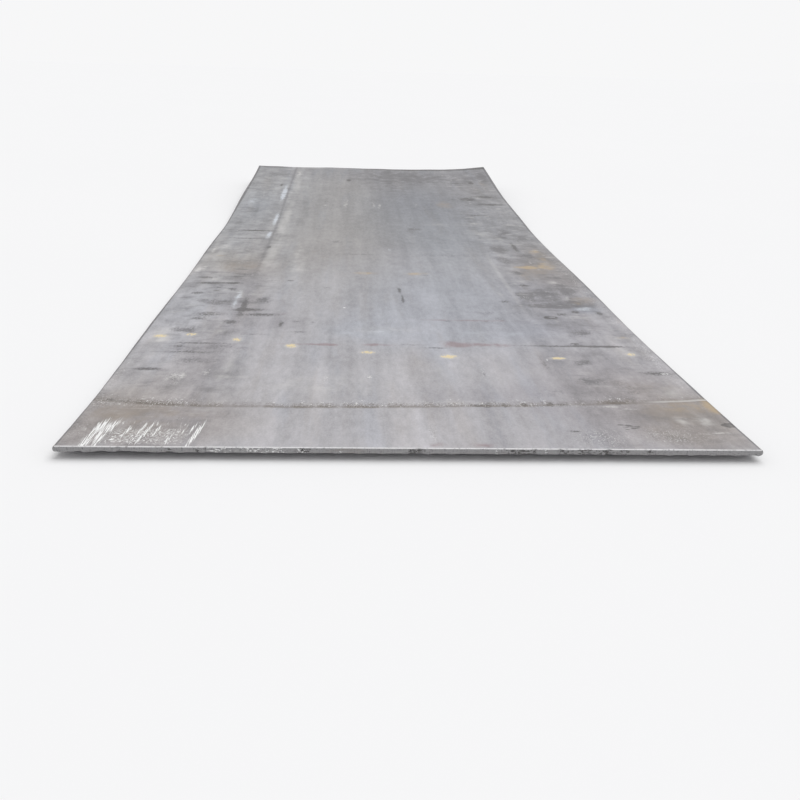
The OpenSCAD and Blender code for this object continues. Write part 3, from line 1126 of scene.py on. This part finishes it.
def top_scale(shape, finish):
    """Mill scale of the top face: tinted scale, smudges, rust, paint dabs, chalk and the crease."""
    shade = Shade("mill_scale_top")
    ragged = shade.warped((0.040, 0.055), (0.09, 0.12))
    crisp = shade.warped((0.009, 0.010), (0.03, 0.05))
    flake = shade.noise((0.080, 0.10, 1), 6.0, 0.64)
    grit = shade.noise((0.009, 0.018, 1), 4.0, 0.7)
    edge = shade.math("ADD", shade.step(flake, 0.32, 0.68, 1.1), 0.45)
    lay_scale(shade, shape, finish, ragged)
    broken = shade.math("ADD", shade.step(grit, 0.28, 0.72, 1.0), 0.50)

    def lay_stains(*stains):
        """Each stain as its colour, table, place, textures, low and high sum, and most cover."""
        for tone, *stain in stains:
            shade.lay(shade.stain(shape, *stain), tone)

    lay_stains(
        (finish.cream, PALE_PATCHES, ragged, (edge,), 0.10, 1.1, 0.62),
        (finish.frost, BLUE_WASHES, ragged, (edge,), 0.08, 1.0, 0.60),
        (finish.frost, FROST_BARS, crisp, (edge, broken), 0.12, 0.70, 0.75),
        (finish.cream, PALE_LINES, crisp, (edge, broken), 0.12, 0.70, 0.72),
    )
    # Painted shade: dark rims along the mill edges, where the rounded edges fall into shadow.
    shade.lay(edge_lip_and_shade(shade, shape), finish.smudge_and_shade)
    lay_stains(
        (finish.rust, RUST_STAINS, ragged, (edge,), 0.10, 0.8, 0.60),
        (finish.smudge_and_shade, SMUDGES_AND_SHADE, ragged, (edge, broken), 0.10, 0.80, 0.80),
        (finish.slag_soot_and_shade, STREAKS, crisp, (broken,), 0.12, 0.70, 0.72),
    )
    lay_sides(shade, shape, finish)
    lay_ridge(shade, shape, finish, crisp)
    lay_stains(
        (finish.red_rust, RED_LINES, crisp, (edge,), 0.10, 0.75, 0.56),
        (finish.ochre, OCHRE_STAINS, crisp, (edge,), 0.12, 0.85, 0.55),
    )
    lay_crease(shade, shape, finish, grit)
    lay_speckles(shade, shape, finish, crisp, grit)
    dabs = shade.marks(shape, PAINT_DABS, crisp)
    shade.lay(shade.step(dabs, 0.10, 0.50, 0.30), finish.cream)
    dabs = shade.times(dabs, shade.step(grit, 0.25, 0.60, 1.5))
    shade.lay(shade.step(dabs, 0.42, 0.75, 0.85), finish.paint)
    shade.lay(chalk_marks(shade, shape, grit), finish.chalk)

    half = shape.plate_length / 2
    # Painted highlight: a bright line along the top arris of each cut end, where the rounded edge catches
    # the light.
    arris = shade.step(shade.math("ABSOLUTE", shade.y), half - 8 * MM, half - 2 * MM)
    shade.lay(shade.times(arris, shade.step(grit, 0.30, 0.50)), finish.arris_highlight)
    rough = shade.math("MULTIPLY_ADD", flake, 0.3, 0.40)
    pits = shade.bump(grit, 0.6 * MM, 0.5)
    grain = shade.noise((0.002, 0.003, 0.002), 3.0, 0.6)
    return shade.finish(rough, shade.bump(grain, 0.2 * MM, 0.4, pits), 0.2)


def under_scale(shape, finish):
    """Mill scale of the underside and the mill edges, with the edges darkened as painted shade and flecked
    with rust.
    """
    shade = Shade("mill_scale_under")
    tone = shade.times(rolled_tone(shade, shape), 0.7)
    shade.base = shade.mix(tone, finish.dark_scale, finish.pale_scale)
    half = shape.plate_width / 2
    edge = shade.step(shade.math("ABSOLUTE", shade.x), half - 30 * MM, half - 10 * MM)
    grit = shade.noise((0.02, 0.05, 0.02), 4.0, 0.65)
    # Painted shade: the mill edges and the underside's rims are darkened as if in shadow; the rust flecks
    # laid next are real.
    shade.lay(shade.times(edge, 0.7), finish.smudge_and_shade)
    shade.lay(shade.times(edge, shade.step(grit, 0.45, 0.65, 0.8)), finish.rust)
    rough = shade.math("MULTIPLY_ADD", grit, 0.3, 0.40)
    return shade.finish(rough, shade.bump(grit, 1 * MM, 0.5), 0.2)


def torch_cut(shape, finish):
    """Torch-cut end faces: upright drag lines, dark gouges, white flecks and rust bloom."""
    shade = Shade("torch_cut")
    drag = shade.noise((0.0035, 0.05, 0.03), 3.0, 0.65)
    blots = shade.noise((0.010, 0.05, 0.004), 4.0, 0.65)
    long_blots = shade.noise((0.22, 0.05, 0.05), 3.0, 0.6)
    tone = shade.math("MULTIPLY_ADD", shade.math("SUBTRACT", drag, 0.5), 1.0, blots)
    shade.base = shade.mix(shade.step(tone, 0.15, 0.55), finish.smudge_and_shade, finish.cut_steel)
    shade.lay(shade.step(long_blots, 0.56, 0.76, 0.5), finish.rust)
    stains = (
        (finish.slag_soot_and_shade, GOUGES, shade.step(blots, 0.62, 0.40, 1.6), 0.45, 0.85, 0.85),
        (finish.chalk, FLECKS, shade.step(blots, 0.44, 0.62, 1.6), 0.60, 1.00, 0.9),
    )
    for stain_tone, rows, texture, *limits in stains:
        table = [(x, 0, half_width, CUT_MARK_REACH, strength) for x, half_width, strength in rows]
        shade.lay(shade.stain(shape, table, shade.place, (texture,), *limits), stain_tone)
    rough = shade.math("MULTIPLY_ADD", blots, 0.3, 0.4)
    lines = shade.bump(drag, 1.2 * MM, 0.7)
    return shade.finish(rough, shade.bump(blots, 1.5 * MM, 0.5, lines), 0.25)


class WEARPLATE_OT_plate(bpy.types.Operator):
    """Build the rolled plate over its solid"""

    bl_idname = "wear_plate.plate"
    bl_label = "Rolled plate"

    def execute(self, context):
        shape, finish = context.scene.plate_shape, context.scene.plate_finish
        points, walls, caps = plate_mesh(shape)
        mesh = bpy.data.meshes.new("rolled_plate")
        mesh.from_pydata(points, [], walls.tolist() + caps)
        mesh.update()
        for material in (top_scale(shape, finish), under_scale(shape, finish), torch_cut(shape, finish)):
            mesh.materials.append(material)
        around = 2 * shape.columns + 2 * shape.nose_steps
        on_top = np.arange(len(walls)) % around < shape.columns
        index = np.concatenate([np.where(on_top, 0, 1), np.full(len(caps), 2)]).astype(np.int32)
        mesh.polygons.foreach_set("material_index", index)
        mesh.polygons.foreach_set("use_smooth", np.ones(len(index), bool))
        mesh.set_sharp_from_angle(angle=SHARP_ANGLE)
        plate = bpy.data.objects.new("rolled_plate", mesh)
        context.scene.collection.objects.link(plate)
        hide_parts(NODE)
        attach(plate, "root")
        return {"FINISHED"}


def floor_material(tone):
    """Pale matt floor with a faint cloud of tone."""
    shade = Shade("studio_floor")
    cloud = shade.noise((2.5, 2.5, 2.5), 2.0, 0.5)
    shade.base = shade.mix(cloud, tuple(0.99 * c for c in tone), tone)
    return shade.finish(0.9, shade.bump(cloud, 1 * MM, 0.02), 0.0, 0.0)


def studio_world(scene, stage):
    """Soft light all round, which the camera and reflections see as the pale backdrop."""
    world = bpy.data.worlds.new("studio")
    scene.world = world
    world.use_nodes = True
    nodes, links = world.node_tree.nodes, world.node_tree.links
    back = nodes["Background"]
    back.inputs["Color"].default_value = (*stage.floor_tone, 1.0)
    rays = nodes.new("ShaderNodeLightPath")
    seen = rays.outputs["Is Camera Ray"]
    for name in ("Is Glossy Ray", "Is Transmission Ray"):
        either = nodes.new("ShaderNodeMath")
        either.operation = "MAXIMUM"
        links.new(seen, either.inputs[0])
        links.new(rays.outputs[name], either.inputs[1])
        seen = either.outputs[0]
    level = nodes.new("ShaderNodeMapRange")
    level.inputs["To Min"].default_value = stage.sky_light
    links.new(seen, level.inputs["Value"])
    links.new(level.outputs[0], back.inputs["Strength"])


def studio_camera(scene, stage):
    """Camera at its place, turned right by yaw, down by pitch and leaned by roll."""
    data = bpy.data.cameras.new("camera")
    data.lens = stage.focal
    data.clip_end = CAMERA_CLIP
    camera = bpy.data.objects.new("camera", data)
    cos, sin = np.cos, np.sin
    right = Vector((cos(stage.yaw), -sin(stage.yaw), 0))
    level = Vector((sin(stage.yaw), cos(stage.yaw), 0))
    ahead = level * cos(stage.pitch) - Vector((0, 0, sin(stage.pitch)))
    down = ahead.cross(right)
    across = right * cos(stage.roll) + down * sin(stage.roll)
    lower = down * cos(stage.roll) - right * sin(stage.roll)
    turn = Matrix((across, -lower, -ahead)).transposed()
    camera.matrix_world = Matrix.Translation(stage.eye) @ turn.to_4x4()
    scene.collection.objects.link(camera)
    scene.camera = camera


class WEARPLATE_OT_stage(bpy.types.Operator):
    """Set the pale floor, the soft light and the camera"""

    bl_idname = "wear_plate.stage"
    bl_label = "Studio stage"

    def execute(self, context):
        scene, stage = context.scene, context.scene.plate_stage
        reach = stage.floor_reach
        corners = [(-reach, -reach, 0), (reach, -reach, 0), (reach, reach, 0), (-reach, reach, 0)]
        mesh = bpy.data.meshes.new("floor")
        mesh.from_pydata(corners, [], [(0, 1, 2, 3)])
        mesh.materials.append(floor_material(stage.floor_tone))
        floor = bpy.data.objects.new("floor", mesh)
        scene.collection.objects.link(floor)
        sun = bpy.data.lights.new("overhead", "SUN")
        sun.energy = stage.sun_light
        sun.angle = stage.sun_spread
        lamp = bpy.data.objects.new("overhead", sun)
        lamp.rotation_euler = (stage.sun_back, stage.sun_side, 0)
        scene.collection.objects.link(lamp)
        studio_world(scene, stage)
        studio_camera(scene, stage)
        scene.view_settings.view_transform = "Standard"
        return {"FINISHED"}


class WEARPLATE_PT_panel(bpy.types.Panel):
    """Lists the plate's operators and settings"""

    bl_label = "Wear plate"
    bl_idname = "WEARPLATE_PT_panel"
    bl_space_type = "VIEW_3D"
    bl_region_type = "UI"
    bl_category = "Wear plate"

    def draw(self, context):
        for operator in OPERATORS:
            self.layout.operator(operator.bl_idname)
        for name, group in GROUPS.items():
            for prop in group.__annotations__:
                self.layout.prop(getattr(context.scene, name), prop)


OPERATORS = (WEARPLATE_OT_stage, WEARPLATE_OT_plate)
GROUPS = {"plate_shape": PlateShape, "plate_finish": PlateFinish, "plate_stage": PlateStage}


def register():
    """Register the classes and hang the settings on the scene."""
    for kind in (*GROUPS.values(), *OPERATORS, WEARPLATE_PT_panel):
        bpy.utils.register_class(kind)
    for name, group in GROUPS.items():
        setattr(bpy.types.Scene, name, PointerProperty(type=group))


def unregister():
    """Take the settings and the classes away again."""
    for name in GROUPS:
        delattr(bpy.types.Scene, name)
    for kind in (WEARPLATE_PT_panel, *OPERATORS, *GROUPS.values()):
        bpy.utils.unregister_class(kind)


def main():
    """Build the stage and the plate."""
    register()
    bpy.ops.wear_plate.stage()
    bpy.ops.wear_plate.plate()


if __name__ == "__main__":
    main()
